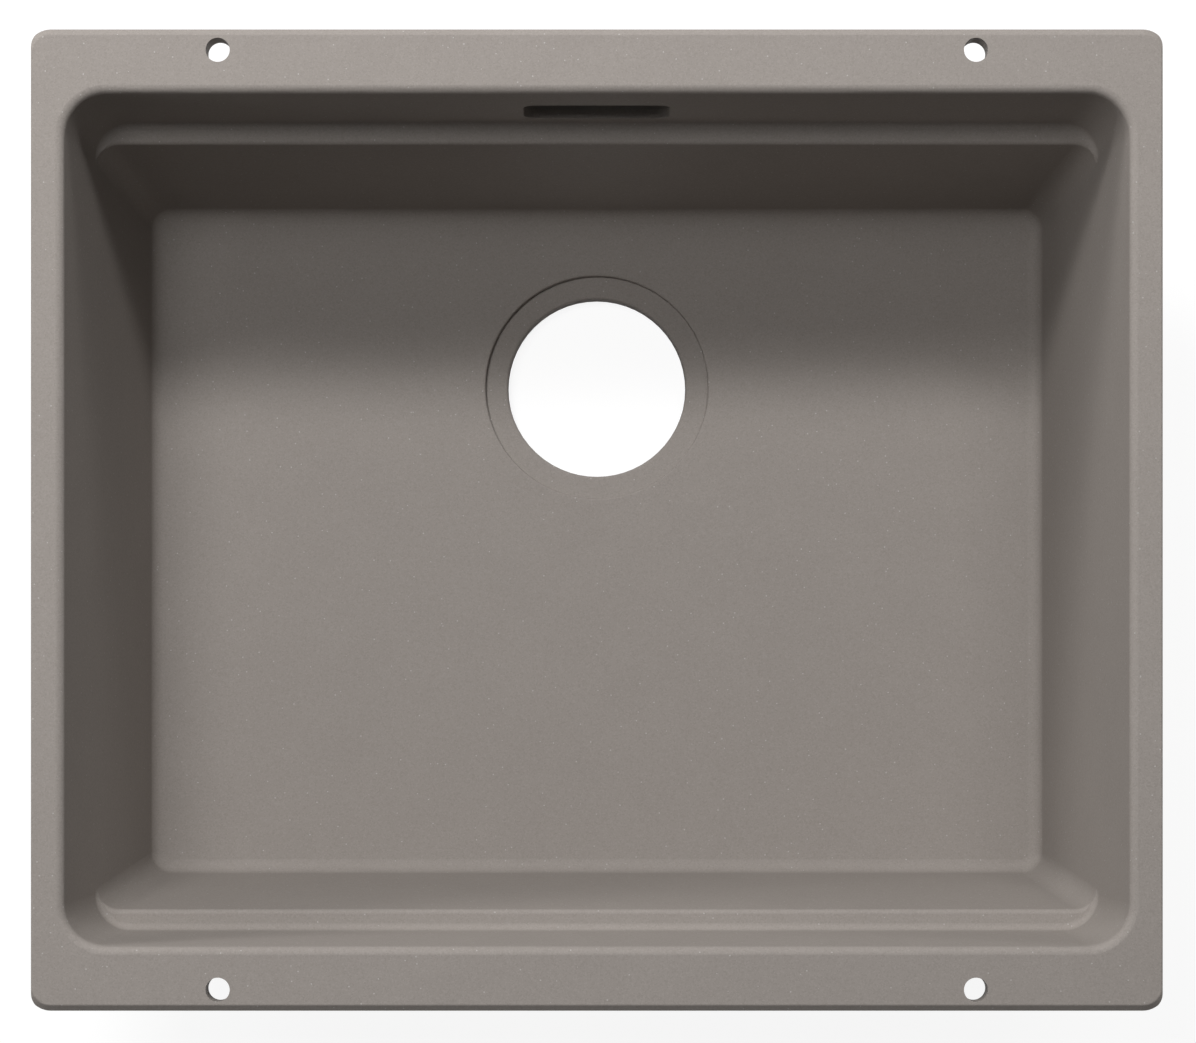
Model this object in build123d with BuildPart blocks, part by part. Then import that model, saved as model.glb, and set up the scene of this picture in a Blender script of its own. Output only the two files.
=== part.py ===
from build123d import *

import math
import os

# An undermount kitchen sink: a one-piece moulded stone-composite bowl with a flat flange,
# a ledge on its front and back walls and a round drain near the back, and the overflow set
# that hangs behind its back wall under the flange.
# Millimetres. The origin is the centre of the flange's top face, +Z is up, +X runs along
# the sink's length and +Y points to its back, where the drain and the overflow are.
# Depths are measured down from the flange's top face.

# ---- driving dimensions: the mouth of the bowl and the flange around it
mouth_length = 500.0
mouth_width = 400.0
mouth_corner_radius = 20.0
mouth_edge_radius = 4.0
side_flange = 15.0
end_flange = 30.0
rim_thickness = 14.0
rim_corner_radius = 11.5
rim_bevel = 2.8
rim_bevel_softening = 1.2
# The sides are milled after moulding, which leaves them a narrow break in place of the bevel.
rim_side_trim = 2.4
rim_side_corner_radius = 7.5
rim_side_break = 0.8
rim_underside_break = 1.0
rim_root_radius = 2.5
flange_hole_radius = 5.65
flange_hole_inset = 10.0
flange_hole_spacing_x = 355.0

# ---- driving dimensions: the walls, the ledge and the floor
bowl_depth = 190.0
side_lean = 21.5
upper_lean = 4.6
back_lower_lean = 16.7
front_lower_lean = 14.2
ledge_below_slot = 11.0
ledge_width = 9.8
ledge_corner_radius = 17.0
ledge_root_radius = 3.5
ledge_lip_radius = 2.5
lower_corner_radius = 10.5
floor_fillet_radius = 7.0
floor_fall_degrees = 0.5

# ---- driving dimensions: the casting's thickness
wall_thickness = 9.0
floor_thickness = 10.0
under_ledge_thickness = 10.0
outer_ledge_radius = 6.0
outer_floor_radius = 14.0

# ---- driving dimensions: the drain and the strainer's seat
drain_from_back = 90.4
drain_radius = 46.0
drain_edge_radius = 1.2
seat_width = 11.5
seat_depth = 4.0
seat_fall = 0.8
seat_edge_radius = 1.0
boss_width = 24.0
boss_thickness = 12.0
boss_edge_radius = 3.0

# ---- driving dimensions: the overflow slot and the pad behind it
slot_length = 70.0
slot_height = 27.0
slot_below_flange = 13.0
slot_corner_radius = 6.0
slot_edge_radius = 0.4
pad_thickness = 5.0
pad_margin_x = 5.0
pad_margin_z = 1.0

# ---- driving dimensions: the inserts, screws and washers
insert_radius = 3.0
insert_length = 8.0
screw_inset = 6.75
screw_radius = 2.0
screw_hole_clearance = 0.3
screw_head_radius = 3.9
screw_head_height = 2.6
screw_end_gap = 1.0
socket_radius = 1.3
socket_depth = 1.6
washer_radius = 4.5
washer_thickness = 0.8

# ---- driving dimensions: the overflow gasket and housing
gasket_thickness = 1.5
gasket_margin = 2.0
plate_margin_x = 18.0
plate_margin_z = 10.0
plate_thickness = 2.6
plate_corner_radius = 6.0
box_margin_x = 5.0
box_margin_top = 4.0
box_margin_bottom = 14.0
box_depth = 16.0
box_wall = 2.0
box_inner_radius = 2.0
funnel_height = 24.0
outlet_forward = 8.5
outlet_bore_radius = 10.2
outlet_wall = 2.3
outlet_length = 24.0

# ---- driving dimensions: the union nut, its ring and its seal
seal_thickness = 3.6
seal_taper = 1.0
seal_bore_clearance = 0.15
seal_side_clearance = 0.4
ring_thickness = 1.4
thread_clearance = 0.1
nut_engagement = 10.5
nut_wall = 3.6
nut_rib_height = 1.0
nut_rib_width = 3.0
nut_rib_count = 12
nut_lip_thickness = 2.5
nut_lip_clearance = 0.4
nut_edge_break = 0.8

# How far a cutting block runs past what it cuts.
cut_margin = 2.0
# How near a radius must be to count as the one looked for.
radius_match = 0.01

# ---- worked out from them
rim_length = mouth_length + 2 * side_flange
rim_width = mouth_width + 2 * end_flange
flange_hole_spacing_y = rim_width - 2 * flange_hole_inset
slot_top = rim_thickness + slot_below_flange
slot_middle = slot_top + slot_height / 2
ledge_depth = slot_top + slot_height + ledge_below_slot
ledge_bottom = ledge_depth + under_ledge_thickness
underside = bowl_depth + floor_thickness
lip_half_width = mouth_width / 2 - upper_lean - ledge_width
floor_back = lip_half_width - back_lower_lean
floor_front = lip_half_width - front_lower_lean
drain_y = floor_back - drain_from_back
seat_radius = drain_radius + seat_width
seat_bottom = bowl_depth + seat_depth
boss_radius = drain_radius + boss_width
boss_bottom = seat_bottom + boss_thickness
plate_length = slot_length + 2 * plate_margin_x
plate_height = slot_height + 2 * plate_margin_z
plate_bottom = slot_middle + plate_height / 2
screw_spacing_x = plate_length - 2 * screw_inset
screw_spacing_z = plate_height - 2 * screw_inset
box_length = slot_length + 2 * box_margin_x
box_top = slot_top - box_margin_top
box_bottom = slot_top + slot_height + box_margin_bottom
funnel_bottom = box_bottom + funnel_height
spigot_radius = outlet_bore_radius + outlet_wall
spigot_end = funnel_bottom + outlet_length
seal_bottom = spigot_end + seal_thickness
ring_bottom = seal_bottom + ring_thickness
nut_bore_radius = spigot_radius + thread_clearance
nut_radius = nut_bore_radius + nut_wall
nut_top = spigot_end - nut_engagement
nut_bottom = ring_bottom + nut_lip_thickness
seal_bore_radius = outlet_bore_radius + seal_bore_clearance
seal_outer_radius = nut_bore_radius - seal_side_clearance

os.makedirs("parts", exist_ok=True)


def half_length(depth):
    """Half the bowl's inside length: the side walls run straight from mouth to floor."""
    return mouth_length / 2 - side_lean * depth / bowl_depth


def upper_half_width(depth):
    """Half the inside width above the ledge."""
    return mouth_width / 2 - upper_lean * depth / ledge_depth


pad_face_y = upper_half_width(slot_middle) + wall_thickness + pad_thickness
gasket_back_y = pad_face_y + gasket_thickness
plate_back_y = gasket_back_y + plate_thickness
outlet_y = gasket_back_y + box_depth / 2 - outlet_forward
drain_axis = Axis((0, drain_y, 0), (0, 0, 1))
outlet_axis = Axis((0, outlet_y, 0), (0, 0, 1))


def facing_back(y):
    """A plane behind the back wall, facing the back, centred on the overflow slot."""
    return Plane(origin=(0, y, -slot_middle), x_dir=(-1, 0, 0), z_dir=(0, 1, 0))


def level(depth):
    """A level plane at a depth, facing up."""
    return Plane.XY.offset(-depth)


def upper_section(depth, growth=0.0):
    """The rounded rectangle of the upper walls at a depth, grown by a wall thickness."""
    share = depth / ledge_depth
    radius = mouth_corner_radius + (ledge_corner_radius - mouth_corner_radius) * share
    length = 2 * (half_length(depth) + growth)
    width = 2 * (upper_half_width(depth) + growth)
    with BuildSketch(level(depth)) as section:
        RectangleRounded(length, width, radius + growth)
    return section.sketch


def lower_section(depth, growth=0.0):
    """The rounded rectangle of the lower walls at a depth, grown by a wall thickness."""
    above_floor = (bowl_depth - depth) / (bowl_depth - ledge_depth)
    back = floor_back + back_lower_lean * above_floor
    front = floor_front + front_lower_lean * above_floor
    length = 2 * (half_length(depth) + growth)
    width = back + front + 2 * growth
    with BuildSketch(level(depth)) as section:
        with Locations((0, (back - front) / 2)):
            RectangleRounded(length, width, lower_corner_radius + growth)
    return section.sketch


# ---- the ledge's rounded front edge, as a flare of the lower hollow's mouth
flare_bottom = ledge_depth + 2 * ledge_lip_radius

with BuildPart() as lip_block:
    with BuildSketch(level(ledge_depth)):
        Rectangle(rim_length, rim_width)
    extrude(amount=ledge_depth - flare_bottom)
    loft(
        sections=[lower_section(ledge_depth), lower_section(flare_bottom)],
        ruled=True,
        mode=Mode.SUBTRACT,
    )
    lip_face = lip_block.faces().sort_by(Axis.Z)[-1]
    fillet(lip_face.inner_wires()[0].edges(), ledge_lip_radius)

# Kept within the line of the upper walls, so that it leaves no groove in the side walls.
with BuildPart() as lip_flare:
    loft(sections=[upper_section(ledge_depth), upper_section(flare_bottom)], ruled=True)
    add(lip_block.part, mode=Mode.SUBTRACT)

# ---- the hollow: the space inside the bowl, cut from the casting
with BuildPart() as hollow:
    loft(sections=[upper_section(0), upper_section(ledge_depth)], ruled=True)
    fillet(hollow.faces().sort_by(Axis.Z)[0].edges(), ledge_root_radius)
    lower_start = ledge_depth - ledge_root_radius - cut_margin
    lower_end = bowl_depth + cut_margin
    loft(sections=[lower_section(lower_start), lower_section(lower_end)], ruled=True)
    # The floor falls to the drain as a very flat cone around it.
    reach = math.hypot(mouth_length / 2, floor_front + abs(drain_y))
    rise = reach * math.tan(math.radians(floor_fall_degrees))
    with BuildSketch(Plane.XZ.offset(-drain_y)):
        Polygon(
            (0, -bowl_depth),
            (reach, rise - bowl_depth),
            (reach, -lower_end - cut_margin),
            (0, -lower_end - cut_margin),
            align=None,
        )
    revolve(axis=drain_axis, mode=Mode.SUBTRACT)
    floor_face = hollow.faces().filter_by(GeomType.CONE).sort_by(SortBy.AREA)[-1]
    fillet(floor_face.outer_wire().edges(), floor_fillet_radius)
    add(lip_flare.part)

# ---- what the milling of the sides leaves of the flange
with BuildPart() as milled:
    with BuildSketch(level(0)):
        RectangleRounded(rim_length, rim_width, rim_side_corner_radius)
    extrude(amount=-rim_thickness)
    chamfer(milled.faces().sort_by(Axis.Z)[-1].edges(), rim_side_break)
    chamfer(milled.faces().sort_by(Axis.Z)[0].edges(), rim_underside_break)

# ---- bowl: the casting
with BuildPart() as bowl:
    # The flange, bevelled along its top edge, with its sides milled.
    with BuildSketch(level(0)):
        RectangleRounded(rim_length + 2 * rim_side_trim, rim_width, rim_corner_radius)
    extrude(amount=-rim_thickness)
    chamfer(bowl.faces().sort_by(Axis.Z)[-1].edges(), rim_bevel)
    fillet(bowl.faces().sort_by(Axis.Z)[-1].edges(), rim_bevel_softening)
    chamfer(bowl.faces().sort_by(Axis.Z)[0].edges(), rim_underside_break)
    add(milled.part, mode=Mode.INTERSECT)
    # The outside of the upper walls follows the inside, and meets the flange in a fillet.
    loft(
        sections=[upper_section(0, wall_thickness), upper_section(ledge_bottom, wall_thickness)],
        ruled=True,
    )
    fillet(bowl.faces().sort_by(Axis.Z)[0].edges(), outer_ledge_radius)
    flange_underside = bowl.faces().filter_by(Plane.XY).group_by(Axis.Z)[1].sort_by(SortBy.AREA)[-1]
    fillet(flange_underside.inner_wires()[0].edges(), rim_root_radius)
    # The outside of the lower walls and of the floor.
    loft(
        sections=[lower_section(ledge_depth, wall_thickness), lower_section(underside, wall_thickness)],
        ruled=True,
    )
    fillet(bowl.faces().sort_by(Axis.Z)[0].edges(), outer_floor_radius)
    # The boss under the drain.
    with BuildSketch(level(boss_bottom)):
        with Locations((0, drain_y)):
            Circle(boss_radius)
    extrude(amount=boss_bottom - bowl_depth)
    fillet(bowl.faces().sort_by(Axis.Z)[0].edges(), boss_edge_radius)
    # The flat pad behind the overflow slot, up to the flange.
    pad_length = plate_length + 2 * pad_margin_x
    pad_bottom = plate_bottom + pad_margin_z
    pad_middle = (pad_bottom + rim_thickness / 2) / 2
    with BuildSketch(Plane.XZ.offset(-pad_face_y)):
        with Locations((0, -pad_middle)):
            Rectangle(pad_length, pad_bottom - rim_thickness / 2)
    extrude(amount=pad_face_y - upper_half_width(pad_bottom))
    add(hollow.part, mode=Mode.SUBTRACT)
    fillet(bowl.faces().sort_by(Axis.Z)[-1].inner_wires()[0].edges(), mouth_edge_radius)
    # The strainer's seat, a shallow round recess that falls a little to the hole.
    with BuildSketch(Plane.XZ.offset(-drain_y)):
        Polygon(
            (0, cut_margin - bowl_depth),
            (seat_radius, cut_margin - bowl_depth),
            (seat_radius, seat_fall - seat_bottom),
            (drain_radius, -seat_bottom),
            (drain_radius, -boss_bottom - cut_margin),
            (0, -boss_bottom - cut_margin),
            align=None,
        )
    revolve(axis=drain_axis, mode=Mode.SUBTRACT)
    circles = bowl.edges().filter_by(GeomType.CIRCLE)
    seat_edges = circles.filter_by(lambda edge: abs(edge.radius - seat_radius) < radius_match)
    fillet(seat_edges.sort_by(Axis.Z)[-1], seat_edge_radius)
    hole_edges = circles.filter_by(lambda edge: abs(edge.radius - drain_radius) < radius_match)
    fillet(hole_edges.sort_by(Axis.Z)[-1], drain_edge_radius)
    # The four holes through the flange.
    with GridLocations(flange_hole_spacing_x, flange_hole_spacing_y, 2, 2):
        Hole(flange_hole_radius, depth=rim_thickness + cut_margin)
    # The overflow slot through the back wall, and the blind holes of the inserts.
    with BuildSketch(facing_back(pad_face_y)):
        RectangleRounded(slot_length, slot_height, slot_corner_radius)
    extrude(amount=upper_half_width(ledge_depth) - pad_face_y, mode=Mode.SUBTRACT)
    pierced_faces = bowl.faces().filter_by(lambda face: len(face.inner_wires()) == 1)
    slotted_wall = min(pierced_faces, key=lambda face: face.normal_at().Y)
    fillet(slotted_wall.inner_wires()[0].edges(), slot_edge_radius)
    with BuildSketch(facing_back(pad_face_y)):
        with GridLocations(screw_spacing_x, screw_spacing_z, 2, 2):
            Circle(insert_radius)
    extrude(amount=-insert_length, mode=Mode.SUBTRACT)
bowl.part.label = "bowl"
export_step(bowl.part, "parts/bowl.step")

# ---- overflow_inserts: brass threaded inserts moulded into the pad, thread as a plain bore
with BuildPart() as overflow_inserts:
    with BuildSketch(facing_back(pad_face_y - insert_length)):
        with GridLocations(screw_spacing_x, screw_spacing_z, 2, 2):
            Circle(insert_radius)
            Circle(screw_radius, mode=Mode.SUBTRACT)
    extrude(amount=insert_length)
overflow_inserts.part.label = "overflow_inserts"
export_step(overflow_inserts.part, "parts/overflow_inserts.step")


def plate_opening():
    """The opening in gasket and plate, a little larger than the slot."""
    with BuildSketch(facing_back(gasket_back_y)) as opening:
        RectangleRounded(
            slot_length + 2 * gasket_margin,
            slot_height + 2 * gasket_margin,
            slot_corner_radius + gasket_margin,
        )
        with GridLocations(screw_spacing_x, screw_spacing_z, 2, 2):
            Circle(screw_radius + screw_hole_clearance)
    return opening.sketch


# ---- overflow_gasket: a flat rubber frame between the pad and the housing
with BuildPart() as overflow_gasket:
    with BuildSketch(facing_back(pad_face_y)):
        RectangleRounded(plate_length, plate_height, plate_corner_radius)
    extrude(amount=gasket_thickness)
    extrude(plate_opening(), amount=-gasket_thickness, mode=Mode.SUBTRACT)
overflow_gasket.part.label = "overflow_gasket"
export_step(overflow_gasket.part, "parts/overflow_gasket.step")


def box_section(depth, wall):
    """The collector box's outline at a depth, drawn in by a wall thickness."""
    radius = box_inner_radius + box_wall - wall
    with BuildSketch(level(depth)) as section:
        with Locations((0, gasket_back_y + box_depth / 2)):
            RectangleRounded(box_length - 2 * wall, box_depth - 2 * wall, radius)
    return section.sketch


def outlet_section(depth, radius):
    """A circle on the outlet's axis."""
    with BuildSketch(level(depth)) as section:
        with Locations((0, outlet_y)):
            Circle(radius)
    return section.sketch


# ---- overflow_housing: the collector behind the slot, with a funnel down to its outlet
with BuildPart() as overflow_housing:
    extrude(box_section(box_bottom, 0), amount=box_bottom - box_top)
    fillet(overflow_housing.faces().sort_by(Axis.Z)[-1].edges(), box_wall)
    with BuildSketch(facing_back(gasket_back_y)):
        RectangleRounded(plate_length, plate_height, plate_corner_radius)
    extrude(amount=plate_thickness)
    loft(
        sections=[box_section(box_bottom, 0), outlet_section(funnel_bottom, spigot_radius)],
        ruled=True,
    )
    extrude(outlet_section(funnel_bottom, spigot_radius), amount=-outlet_length)
    # The hollow: the box, the funnel and the outlet's bore, and the openings in the plate.
    extrude(
        box_section(box_bottom, box_wall),
        amount=box_bottom - box_top - box_wall,
        mode=Mode.SUBTRACT,
    )
    loft(
        sections=[
            box_section(box_bottom, box_wall),
            outlet_section(funnel_bottom, outlet_bore_radius),
        ],
        ruled=True,
        mode=Mode.SUBTRACT,
    )
    extrude(
        outlet_section(funnel_bottom, outlet_bore_radius),
        amount=-outlet_length,
        mode=Mode.SUBTRACT,
    )
    extrude(plate_opening(), amount=plate_thickness, mode=Mode.SUBTRACT)
overflow_housing.part.label = "overflow_housing"
export_step(overflow_housing.part, "parts/overflow_housing.step")

# ---- screw_washers: under the screw heads
with BuildPart() as screw_washers:
    with BuildSketch(facing_back(plate_back_y)):
        with GridLocations(screw_spacing_x, screw_spacing_z, 2, 2):
            Circle(washer_radius)
            Circle(screw_radius + screw_hole_clearance, mode=Mode.SUBTRACT)
    extrude(amount=washer_thickness)
screw_washers.part.label = "screw_washers"
export_step(screw_washers.part, "parts/screw_washers.step")

# ---- overflow_screws: button heads with a hexagon socket, threads as plain shanks
with BuildPart() as overflow_screws:
    head_y = plate_back_y + washer_thickness
    with BuildSketch(facing_back(head_y)):
        with GridLocations(screw_spacing_x, screw_spacing_z, 2, 2):
            Circle(screw_head_radius)
    extrude(amount=screw_head_height)
    fillet(overflow_screws.edges().group_by(Axis.Y)[-1], screw_head_height / 2)
    with BuildSketch(facing_back(head_y)):
        with GridLocations(screw_spacing_x, screw_spacing_z, 2, 2):
            Circle(screw_radius)
    extrude(amount=pad_face_y - insert_length + screw_end_gap - head_y)
    with BuildSketch(facing_back(head_y + screw_head_height)):
        with GridLocations(screw_spacing_x, screw_spacing_z, 2, 2):
            RegularPolygon(socket_radius, 6)
    extrude(amount=-socket_depth, mode=Mode.SUBTRACT)
overflow_screws.part.label = "overflow_screws"
export_step(overflow_screws.part, "parts/overflow_screws.step")

# ---- hose_cone_seal: the tapered washer under the outlet's end
with BuildPart() as hose_cone_seal:
    with BuildSketch(Plane.XZ.offset(-outlet_y)):
        Polygon(
            (seal_bore_radius, -spigot_end),
            (seal_outer_radius - seal_taper, -spigot_end),
            (seal_outer_radius, -(spigot_end + seal_bottom) / 2),
            (seal_outer_radius, -seal_bottom),
            (seal_bore_radius, -seal_bottom),
            align=None,
        )
    revolve(axis=outlet_axis)
hose_cone_seal.part.label = "hose_cone_seal"
export_step(hose_cone_seal.part, "parts/hose_cone_seal.step")

# ---- hose_slip_ring: lets the nut turn without dragging the seal
with BuildPart() as hose_slip_ring:
    extrude(outlet_section(ring_bottom, seal_outer_radius), amount=ring_thickness)
    extrude(
        outlet_section(ring_bottom, seal_bore_radius),
        amount=ring_thickness,
        mode=Mode.SUBTRACT,
    )
hose_slip_ring.part.label = "hose_slip_ring"
export_step(hose_slip_ring.part, "parts/hose_slip_ring.step")

# ---- hose_union_nut: a ribbed hand nut, its thread as a plain bore
with BuildPart() as hose_union_nut:
    extrude(outlet_section(nut_bottom, nut_radius), amount=nut_bottom - nut_top)
    end_faces = hose_union_nut.faces().filter_by(Plane.XY)
    chamfer(end_faces.edges(), nut_edge_break)
    with BuildSketch(level(ring_bottom)):
        with Locations((0, outlet_y)):
            with PolarLocations(nut_radius, nut_rib_count):
                Rectangle(2 * nut_rib_height, nut_rib_width)
    extrude(amount=ring_bottom - nut_top - nut_edge_break)
    extrude(
        outlet_section(ring_bottom, nut_bore_radius),
        amount=ring_bottom - nut_top,
        mode=Mode.SUBTRACT,
    )
    extrude(
        outlet_section(ring_bottom, outlet_bore_radius + nut_lip_clearance),
        amount=-nut_lip_thickness,
        mode=Mode.SUBTRACT,
    )
hose_union_nut.part.label = "hose_union_nut"
export_step(hose_union_nut.part, "parts/hose_union_nut.step")
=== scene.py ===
import math

import bpy
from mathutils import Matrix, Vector


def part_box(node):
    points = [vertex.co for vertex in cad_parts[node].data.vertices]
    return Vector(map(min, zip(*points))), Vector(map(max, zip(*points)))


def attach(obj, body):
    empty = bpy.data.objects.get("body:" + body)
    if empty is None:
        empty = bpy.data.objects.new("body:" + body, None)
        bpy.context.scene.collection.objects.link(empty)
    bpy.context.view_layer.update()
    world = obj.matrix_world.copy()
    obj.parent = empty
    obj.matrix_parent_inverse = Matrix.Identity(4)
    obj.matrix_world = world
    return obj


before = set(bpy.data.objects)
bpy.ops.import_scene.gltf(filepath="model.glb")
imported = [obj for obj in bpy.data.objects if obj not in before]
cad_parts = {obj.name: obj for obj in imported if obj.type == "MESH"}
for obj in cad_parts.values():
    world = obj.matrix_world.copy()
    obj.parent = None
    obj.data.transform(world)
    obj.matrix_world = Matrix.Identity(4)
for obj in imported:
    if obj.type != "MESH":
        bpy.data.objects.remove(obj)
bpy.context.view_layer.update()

# The looks of an undermount kitchen sink of matte stone composite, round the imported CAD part.
# Metres, in the CAD part's frame: the flange's top face is at Z = 0, +Y is the back.

MM = 0.001

# ---- what the CAD gives
bowl_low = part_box("bowl")[0]
nut_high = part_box("hose_union_nut")[1]
seal_low, seal_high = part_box("hose_cone_seal")

# ---- what the CAD's source says of the walls, for the mask of the raw outside
mouth_half_length = 250 * MM
mouth_half_width = 200 * MM
ledge_depth = 65 * MM
floor_depth = 190 * MM
side_lean = 21.5 * MM / floor_depth
upper_lean = 4.6 * MM / ledge_depth
lower_lean = 15.4 * MM / (floor_depth - ledge_depth)
lower_half_width_at_floor = 170.2 * MM
half_wall = 4.5 * MM
corner_radius = 15 * MM
# Depths where the raw outside starts or changes: a little above the flange's underside,
# a little under the ledge, and within the floor.
raw_top_depth = 13.5 * MM
step_depth = 70 * MM
raw_floor_depth = 195.7 * MM

# ---- the photograph's camera: lens and sensor in millimetres, shifts in shares of the width
camera_height = 1.810
camera_forward = 0.0948
camera_lens = 116.4
camera_sensor = 36.0
camera_shift_x = 0.00097
camera_shift_y = 0.1679
camera_reach = 50.0


# ---------------------------------------------------------------- node helper
class Nodes:
    """A node tree under construction: adds nodes, sets their inputs and joins them."""

    def __init__(self, tree):
        self.tree = tree
        self.tree.nodes.clear()

    def add(self, kind, inputs=None, **settings):
        """Adds a node. An input's value is a number, a colour or another node's output."""
        node = self.tree.nodes.new(kind)
        for name, value in settings.items():
            setattr(node, name, value)
        for name, value in (inputs or {}).items():
            if isinstance(value, bpy.types.NodeSocket):
                self.tree.links.new(value, node.inputs[name])
            else:
                node.inputs[name].default_value = value
        return node

    def place(self):
        """Where the shaded point is, in metres, in the object's own frame."""
        return self.add("ShaderNodeTexCoord").outputs["Object"]

    def math(self, operation, first, second=0.0, third=0.0):
        """An operation on up to three numbers or outputs."""
        values = {0: first, 1: second, 2: third}
        return self.add("ShaderNodeMath", values, operation=operation).outputs[0]

    def noise(self, vector, size, detail=2.0, roughness=0.5):
        """Noise whose features are about size metres across, from 0 to 1."""
        inputs = {"Vector": vector, "Scale": 1 / size, "Detail": detail, "Roughness": roughness}
        return self.add("ShaderNodeTexNoise", inputs).outputs["Fac"]

    def ramp(self, value, low, high, to_low=0.0, to_high=1.0):
        """Maps a value smoothly from low..high to to_low..to_high."""
        inputs = {
            "Value": value,
            "From Min": low,
            "From Max": high,
            "To Min": to_low,
            "To Max": to_high,
        }
        node = self.add("ShaderNodeMapRange", inputs, interpolation_type="SMOOTHSTEP")
        return node.outputs["Result"]

    # A Mix node has inputs of the same name for each kind of value, so they go by index.
    def blend(self, factor, first, second):
        """A mix of two numbers."""
        return self.add("ShaderNodeMix", {0: factor, 2: first, 3: second}).outputs[0]

    def mix(self, factor, first, second):
        """A mix of two colours."""
        inputs = {0: factor, 6: first, 7: second}
        return self.add("ShaderNodeMix", inputs, data_type="RGBA").outputs[2]

    def bump(self, height, distance, strength=1.0):
        """A bump of that many metres for a height of 1."""
        inputs = {"Height": height, "Distance": distance, "Strength": strength}
        return self.add("ShaderNodeBump", inputs).outputs["Normal"]

    def surface(self, inputs):
        """A Principled shader as the tree's surface."""
        shader = self.add("ShaderNodeBsdfPrincipled", inputs)
        self.add("ShaderNodeOutputMaterial", {"Surface": shader.outputs[0]})


def material(name):
    """A new material and its empty node tree."""
    made = bpy.data.materials.new(name)
    made.use_nodes = True
    return made, Nodes(made.node_tree)


def grey(value):
    """A grey as an opaque colour."""
    return (value, value, value, 1.0)


# Noise lies mostly between these two.
noise_range = (0.3, 0.7)

# ---------------------------------------------------------------- the composite
composite_tone = (0.280, 0.254, 0.234, 1.0)
composite_light_grain = (0.352, 0.322, 0.298, 1.0)
composite_dark_grain = (0.209, 0.187, 0.170, 1.0)
fleck_tone = (0.52, 0.5, 0.48, 1.0)
raw_tone = (0.235, 0.218, 0.205, 1.0)
raw_patch_tone = (0.3, 0.282, 0.268, 1.0)
composite_specular = 0.06
composite_roughness = (0.52, 0.64)
grain_size = 0.6 * MM
grain_strength = 0.3
# Which of the grains' random shades are light and dark ones, from none to full strength.
light_grain_range = (0.70, 0.97)
dark_grain_range = (0.30, 0.04)
fine_grain_size = 0.45 * MM
fine_grain_height = 0.05 * MM
fine_grain_strength = 0.8
mottle_size = 28 * MM
mottle_strength = 0.1
fleck_spacing = 5 * MM
fleck_strength = 0.6
# The fleck's radius, as a share of the flecks' spacing.
fleck_radius = 0.07
raw_patch_size = 60 * MM
raw_patch_range = (0.42, 0.68)
raw_grain_strength = 0.8
raw_pit_size = 3.2 * MM
# How much higher the raw outside's pits are than the fine grain, and how much rougher it is.
raw_pit_height = 4.0
raw_added_roughness = 0.24


def raw_outside_mask(nodes, position):
    """1 on the raw outside of the casting, 0 on the finished inside and the flange."""
    parts = nodes.add("ShaderNodeSeparateXYZ", {0: position}).outputs
    depth = nodes.math("MULTIPLY", parts["Z"], -1.0)
    from_middle_x = nodes.math("ABSOLUTE", parts["X"])
    from_middle_y = nodes.math("ABSOLUTE", parts["Y"])
    wall_x = nodes.math("MULTIPLY_ADD", depth, -side_lean, mouth_half_length + half_wall)
    upper_y = nodes.math("MULTIPLY_ADD", depth, -upper_lean, mouth_half_width + half_wall)
    lower_at_mouth = lower_half_width_at_floor + lower_lean * floor_depth + half_wall
    lower_y = nodes.math("MULTIPLY_ADD", depth, -lower_lean, lower_at_mouth)
    is_lower = nodes.math("GREATER_THAN", depth, step_depth)
    wall_y = nodes.blend(is_lower, upper_y, lower_y)

    def past_arc_start(from_middle, wall):
        """How far a place is past the start of the corner's arc along one axis, or 0."""
        start = nodes.math("SUBTRACT", wall, corner_radius)
        return nodes.math("MAXIMUM", nodes.math("SUBTRACT", from_middle, start), 0.0)

    # The walls' middle runs round the corners in an arc: what lies beyond it is outside.
    past_x = past_arc_start(from_middle_x, wall_x)
    past_y = past_arc_start(from_middle_y, wall_y)
    squares = nodes.math("MULTIPLY_ADD", past_x, past_x, nodes.math("MULTIPLY", past_y, past_y))
    beside = nodes.math("GREATER_THAN", squares, corner_radius**2)
    below = nodes.math("GREATER_THAN", depth, raw_floor_depth)
    outside = nodes.math("MAXIMUM", beside, below)
    under_flange = nodes.math("GREATER_THAN", depth, raw_top_depth)
    return nodes.math("MULTIPLY", outside, under_flange)


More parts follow.
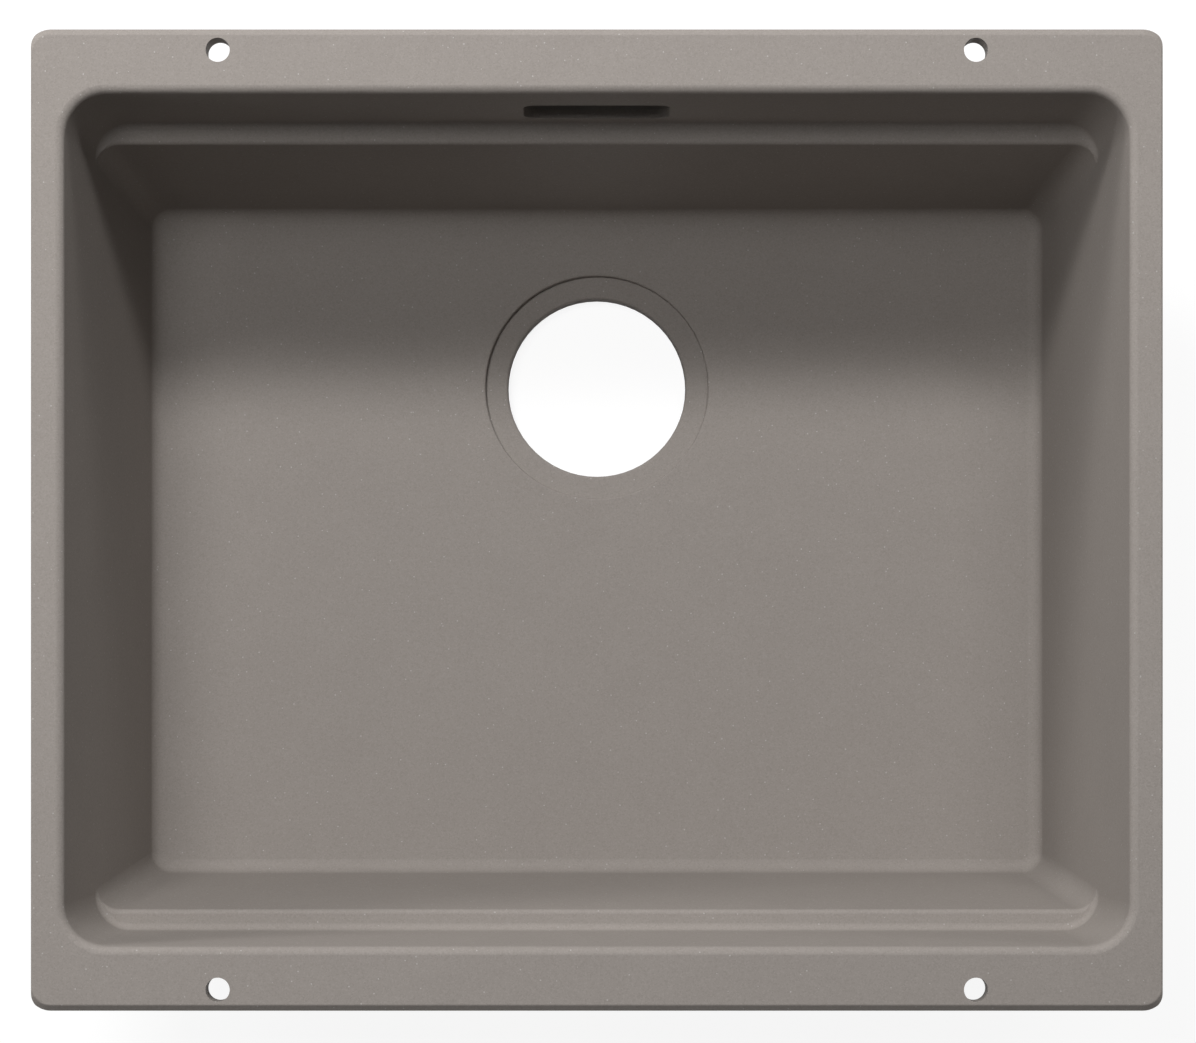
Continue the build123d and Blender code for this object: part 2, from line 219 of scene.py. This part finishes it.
def stone_composite():
    """Fine-grained matte composite: finished inside and on the flange, raw outside."""
    made, nodes = material("stone_composite")
    position = nodes.place()
    raw = raw_outside_mask(nodes, position)
    # Grains: each cell of a Voronoi pattern has its own random shade.
    cells = nodes.add("ShaderNodeTexVoronoi", {"Vector": position, "Scale": 1 / grain_size})
    shade = nodes.add("ShaderNodeSeparateColor", {0: cells.outputs["Color"]}).outputs[0]
    light = nodes.ramp(shade, *light_grain_range, 0.0, grain_strength)
    dark = nodes.ramp(shade, *dark_grain_range, 0.0, grain_strength)
    mottle = nodes.noise(position, mottle_size, detail=4.0, roughness=0.6)
    mottle = nodes.ramp(mottle, *noise_range, 0.0, mottle_strength)
    tone = nodes.mix(mottle, composite_tone, composite_light_grain)
    tone = nodes.mix(light, tone, composite_light_grain)
    tone = nodes.mix(dark, tone, composite_dark_grain)
    # A few tiny pale flecks, far apart.
    specks = nodes.add("ShaderNodeTexVoronoi", {"Vector": position, "Scale": 1 / fleck_spacing})
    fleck = nodes.math("LESS_THAN", specks.outputs["Distance"], fleck_radius)
    tone = nodes.mix(nodes.math("MULTIPLY", fleck, fleck_strength), tone, fleck_tone)
    # The raw outside: duller, with pale patches where the mould's surface rubbed.
    patches = nodes.noise(position, raw_patch_size, detail=6.0, roughness=0.62)
    raw_colour = nodes.mix(nodes.ramp(patches, *raw_patch_range), raw_tone, raw_patch_tone)
    raw_grain = nodes.math("MULTIPLY", dark, raw_grain_strength)
    raw_colour = nodes.mix(raw_grain, raw_colour, composite_dark_grain)
    colour = nodes.mix(raw, tone, raw_colour)
    fine = nodes.noise(position, fine_grain_size, roughness=0.6)
    roughness_inside = nodes.ramp(fine, *noise_range, *composite_roughness)
    roughness = nodes.math("MULTIPLY_ADD", raw, raw_added_roughness, roughness_inside)
    pits = nodes.noise(position, raw_pit_size, detail=5.0, roughness=0.65)
    raw_pits = nodes.math("MULTIPLY", pits, raw)
    height = nodes.math("ADD", fine, nodes.math("MULTIPLY", raw_pits, raw_pit_height))
    normal = nodes.bump(height, fine_grain_height, fine_grain_strength)
    nodes.surface(
        {
            "Base Color": colour,
            "Roughness": roughness,
            "Normal": normal,
            "Specular IOR Level": composite_specular,
        }
    )
    return made


# ---------------------------------------------------------------- the overflow set
rubber_tone = (0.018, 0.018, 0.019, 1.0)
rubber_roughness = (0.62, 0.8)
rubber_texture_size = 0.5 * MM
rubber_texture_height = 0.03 * MM
dust_tone = (0.06, 0.058, 0.056, 1.0)
dust_patch_size = 9 * MM
dust_range = (0.45, 0.75)
dust_strength = 0.5

milky_low_tone = (0.70, 0.70, 0.67, 1.0)
milky_high_tone = (0.78, 0.78, 0.75, 1.0)
milky_roughness = (0.34, 0.46)
milky_flow_size = 22 * MM
milky_texture_size = 0.7 * MM
milky_texture_height = 0.02 * MM
# How far light gets in the milky plastic, and red, green and blue as shares of that.
milky_light_reach = 4 * MM
milky_light_shares = (1.0, 0.95, 0.85)

plastic_roughness = (0.3, 0.4)
plastic_flow_size = 14 * MM
plastic_texture_size = 0.6 * MM
plastic_texture_height = 0.015 * MM

metal_mark_size = 1.0 * MM
metal_mark_height = 0.01 * MM
metal_cloud_size = 3 * MM


def gasket_rubber():
    """Black rubber with a fine mould texture and a little dust in it."""
    made, nodes = material("gasket_rubber")
    position = nodes.place()
    fine = nodes.noise(position, rubber_texture_size, detail=3.0)
    dust_patches = nodes.noise(position, dust_patch_size, detail=5.0, roughness=0.65)
    dust = nodes.ramp(dust_patches, *dust_range, 0.0, dust_strength)
    colour = nodes.mix(dust, rubber_tone, dust_tone)
    roughness = nodes.ramp(fine, *noise_range, *rubber_roughness)
    normal = nodes.bump(fine, rubber_texture_height)
    nodes.surface({"Base Color": colour, "Roughness": roughness, "Normal": normal})
    return made


def housing_plastic():
    """Natural milky plastic, which lets some light through, with a faint moulded texture."""
    made, nodes = material("housing_plastic")
    position = nodes.place()
    flow = nodes.noise(position, milky_flow_size, detail=4.0, roughness=0.55)
    fine = nodes.noise(position, milky_texture_size)
    colour = nodes.mix(nodes.ramp(flow, *noise_range), milky_low_tone, milky_high_tone)
    roughness = nodes.ramp(flow, *noise_range, *milky_roughness)
    normal = nodes.bump(fine, milky_texture_height)
    nodes.surface(
        {
            "Base Color": colour,
            "Roughness": roughness,
            "Normal": normal,
            "Subsurface Weight": 1.0,
            "Subsurface Radius": milky_light_shares,
            "Subsurface Scale": milky_light_reach,
        }
    )
    return made


def hard_plastic(name, low, high):
    """Smooth moulded plastic between two greys."""
    made, nodes = material(name)
    position = nodes.place()
    flow = nodes.noise(position, plastic_flow_size, detail=4.0, roughness=0.55)
    fine = nodes.noise(position, plastic_texture_size)
    colour = nodes.mix(nodes.ramp(flow, *noise_range), low, high)
    roughness = nodes.ramp(fine, *noise_range, *plastic_roughness)
    normal = nodes.bump(fine, plastic_texture_height)
    nodes.surface({"Base Color": colour, "Roughness": roughness, "Normal": normal})
    return made


def turned_metal(name, low, high, axis_scale, roughness_range):
    """Metal between two tones, its fine tool marks drawn out along the axes scaled least."""
    made, nodes = material(name)
    position = nodes.place()
    stretched = nodes.add("ShaderNodeMapping", {"Vector": position, "Scale": axis_scale})
    marks = nodes.noise(stretched.outputs[0], metal_mark_size, detail=3.0)
    cloud = nodes.noise(position, metal_cloud_size, detail=3.0)
    colour = nodes.mix(cloud, low, high)
    roughness = nodes.ramp(marks, *noise_range, *roughness_range)
    normal = nodes.bump(marks, metal_mark_height)
    nodes.surface(
        {"Base Color": colour, "Metallic": 1.0, "Roughness": roughness, "Normal": normal}
    )
    return made


composite = stone_composite()
rubber = gasket_rubber()
housing = housing_plastic()
nut_plastic = hard_plastic(
    "nut_plastic",
    low=(0.60, 0.61, 0.60, 1),
    high=(0.68, 0.69, 0.68, 1),
)
ring_plastic = hard_plastic(
    "ring_plastic",
    low=(0.74, 0.74, 0.71, 1),
    high=(0.80, 0.80, 0.77, 1),
)
steel = turned_metal(
    "screw_steel",
    low=(0.55, 0.55, 0.54, 1),
    high=(0.66, 0.66, 0.65, 1),
    axis_scale=(4, 1, 4),
    roughness_range=(0.22, 0.36),
)
brass = turned_metal(
    "insert_brass",
    low=(0.62, 0.43, 0.16, 1),
    high=(0.76, 0.56, 0.24, 1),
    axis_scale=(1, 6, 1),
    roughness_range=(0.25, 0.4),
)

finishes = {
    "bowl": composite,
    "overflow_inserts": brass,
    "overflow_gasket": rubber,
    "overflow_housing": housing,
    "screw_washers": steel,
    "overflow_screws": steel,
    "hose_cone_seal": rubber,
    "hose_slip_ring": ring_plastic,
    "hose_union_nut": nut_plastic,
}
for name, finish in finishes.items():
    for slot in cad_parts[name].material_slots:
        slot.material = finish

# ---------------------------------------------------------------- the outlet's thread
thread_pitch = 1.814 * MM
thread_root_radius = 12.35 * MM
thread_crest_radius = 13.0 * MM
# Half the ridge's height along the outlet, at its root and at its crest.
thread_root_half = 0.75 * MM
thread_crest_half = 0.2 * MM
thread_steps_per_turn = 48
thread_profile_points = 4
# How far from the outlet's end the thread starts, how far above the nut it ends, and over
# what part of a turn it tapers out.
thread_start_gap = 1.2 * MM
thread_above_nut = 10.5 * MM
thread_taper_turns = 0.25
outlet_x = (seal_low.x + seal_high.x) / 2
outlet_y = (seal_low.y + seal_high.y) / 2
thread_bottom = seal_high.z + thread_start_gap
thread_top = nut_high.z + thread_above_nut


def thread_ridge():
    """A helical ridge round the outlet, tapering out at both ends."""
    turns = (thread_top - thread_bottom) / thread_pitch
    count = int(turns * thread_steps_per_turn)
    points, faces = [], []
    for index in range(count + 1):
        angle = 2 * math.pi * index / thread_steps_per_turn
        height = thread_bottom + thread_pitch * index / thread_steps_per_turn
        from_end = min(index, count - index) / thread_steps_per_turn
        share = min(1.0, from_end / thread_taper_turns)
        crest = thread_root_radius + (thread_crest_radius - thread_root_radius) * share
        profile = (
            (thread_root_radius, -thread_root_half),
            (crest, -thread_crest_half),
            (crest, thread_crest_half),
            (thread_root_radius, thread_root_half),
        )
        # The minus sign makes the ridge left-handed. The nut turns as on a right-handed one.
        for radius, offset in profile:
            x = outlet_x + radius * math.cos(angle)
            y = outlet_y - radius * math.sin(angle)
            points.append((x, y, height + offset))
    for index in range(count):
        first = thread_profile_points * index
        after = first + thread_profile_points
        for corner in range(thread_profile_points):
            beside = (corner + 1) % thread_profile_points
            faces.append((first + corner, first + beside, after + beside, after + corner))
    last = thread_profile_points * count
    faces.append(tuple(reversed(range(thread_profile_points))))
    faces.append(tuple(range(last, last + thread_profile_points)))
    mesh = bpy.data.meshes.new("outlet_thread")
    mesh.from_pydata(points, [], faces)
    ridge = bpy.data.objects.new("outlet_thread", mesh)
    bpy.context.scene.collection.objects.link(ridge)
    mesh.materials.append(housing)
    return ridge


outlet_thread = thread_ridge()
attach(outlet_thread, "bowl_assembly")

# ---------------------------------------------------------------- floor, world and lamps
scene = bpy.context.scene
floor_half = 6.0
floor_gap = 0.1 * MM
floor_z = bowl_low.z - floor_gap
# The floor's own glow where it is seen, the share of the lamps' light it gives back there,
# which shows the shadow, and the share it gives back to the object.
floor_white_share = 0.9
floor_shadow_share = 0.15
floor_bounce = 0.6


def seen_directly(nodes):
    """1 for rays from the camera, from a reflection and through glass."""
    path = nodes.add("ShaderNodeLightPath").outputs
    shown = nodes.math("MAXIMUM", path["Is Camera Ray"], path["Is Glossy Ray"])
    return nodes.math("MAXIMUM", shown, path["Is Transmission Ray"])


def white_floor():
    """A plain floor that shows as white, apart from the object's faint shadow."""
    made, nodes = material("floor")
    white = nodes.add("ShaderNodeEmission", {"Color": grey(1.0), "Strength": floor_white_share})
    shadow = nodes.add("ShaderNodeBsdfDiffuse", {"Color": grey(floor_shadow_share)})
    bounce = nodes.add("ShaderNodeBsdfDiffuse", {"Color": grey(floor_bounce)})
    shown = nodes.add("ShaderNodeAddShader", {0: white.outputs[0], 1: shadow.outputs[0]})
    mixed = nodes.add(
        "ShaderNodeMixShader",
        {0: seen_directly(nodes), 1: bounce.outputs[0], 2: shown.outputs[0]},
    )
    nodes.add("ShaderNodeOutputMaterial", {"Surface": mixed.outputs[0]})
    corners = [(-1, -1), (1, -1), (1, 1), (-1, 1)]
    mesh = bpy.data.meshes.new("floor")
    points = [(floor_half * x, floor_half * y, floor_z) for x, y in corners]
    mesh.from_pydata(points, [], [(0, 1, 2, 3)])
    mesh.materials.append(made)
    floor = bpy.data.objects.new("floor", mesh)
    scene.collection.objects.link(floor)


white_floor()

# The world is white where it is seen, and a dim even light for everything else.
world_level = 0.03
world = bpy.data.worlds.new("studio")
world.use_nodes = True
scene.world = world
sky = Nodes(world.node_tree)
level = sky.blend(seen_directly(sky), world_level, 1.0)
background = sky.add("ShaderNodeBackground", {"Color": grey(1.0), "Strength": level})
sky.add("ShaderNodeOutputWorld", {"Surface": background.outputs[0]})

lamp_distance = 2.0


def lamp(name, azimuth, elevation, target, size, watts):
    """A soft rectangular lamp: degrees to the right of the back and up, metres and watts."""
    around, up = math.radians(azimuth), math.radians(elevation)
    direction = Vector(
        (math.sin(around) * math.cos(up), math.cos(around) * math.cos(up), math.sin(up))
    )
    light = bpy.data.lights.new(name, "AREA")
    light.shape = "RECTANGLE"
    light.size, light.size_y = size
    light.energy = watts
    holder = bpy.data.objects.new(name, light)
    holder.location = Vector(target) + lamp_distance * direction
    holder.rotation_mode = "QUATERNION"
    holder.rotation_quaternion = (-direction).to_track_quat("-Z", "Y")
    holder.visible_camera = False
    scene.collection.objects.link(holder)


# The keys shine over the rim's back edge, whose shadow falls across the floor.
shadow_edge = (0, mouth_half_width, 0)
middle = (0, 0, 0)
wide_strip = (1.0, 0.3)
narrow_strip = (1.0, 0.16)
lamp(
    "key_left", azimuth=-25, elevation=55.5, target=shadow_edge, size=(0.7, 0.26), watts=22.5
)
lamp("key_right", azimuth=25, elevation=54, target=shadow_edge, size=(0.7, 0.14), watts=12)
lamp("fill", azimuth=-45, elevation=72, target=middle, size=(0.5, 0.5), watts=15)
lamp("low_behind_left", azimuth=-50, elevation=15, target=middle, size=wide_strip, watts=11)
lamp("low_behind_right", azimuth=45, elevation=12, target=middle, size=wide_strip, watts=4)
lamp("low_left", azimuth=-90, elevation=12, target=middle, size=wide_strip, watts=4)
# These two lie a little lower than the rim, and light the outside alone.
lamp("level_right", azimuth=90, elevation=-3, target=middle, size=narrow_strip, watts=7)
lamp("level_front", azimuth=180, elevation=-3, target=middle, size=narrow_strip, watts=4)

# ---------------------------------------------------------------- camera
camera_data = bpy.data.cameras.new("camera")
camera_data.lens = camera_lens
camera_data.sensor_width = camera_sensor
camera_data.shift_x = camera_shift_x
camera_data.shift_y = camera_shift_y
camera_data.clip_end = camera_reach
camera = bpy.data.objects.new("camera", camera_data)
camera.location = (0, -camera_forward, camera_height)
scene.collection.objects.link(camera)
scene.camera = camera
scene.view_settings.view_transform = "Standard"
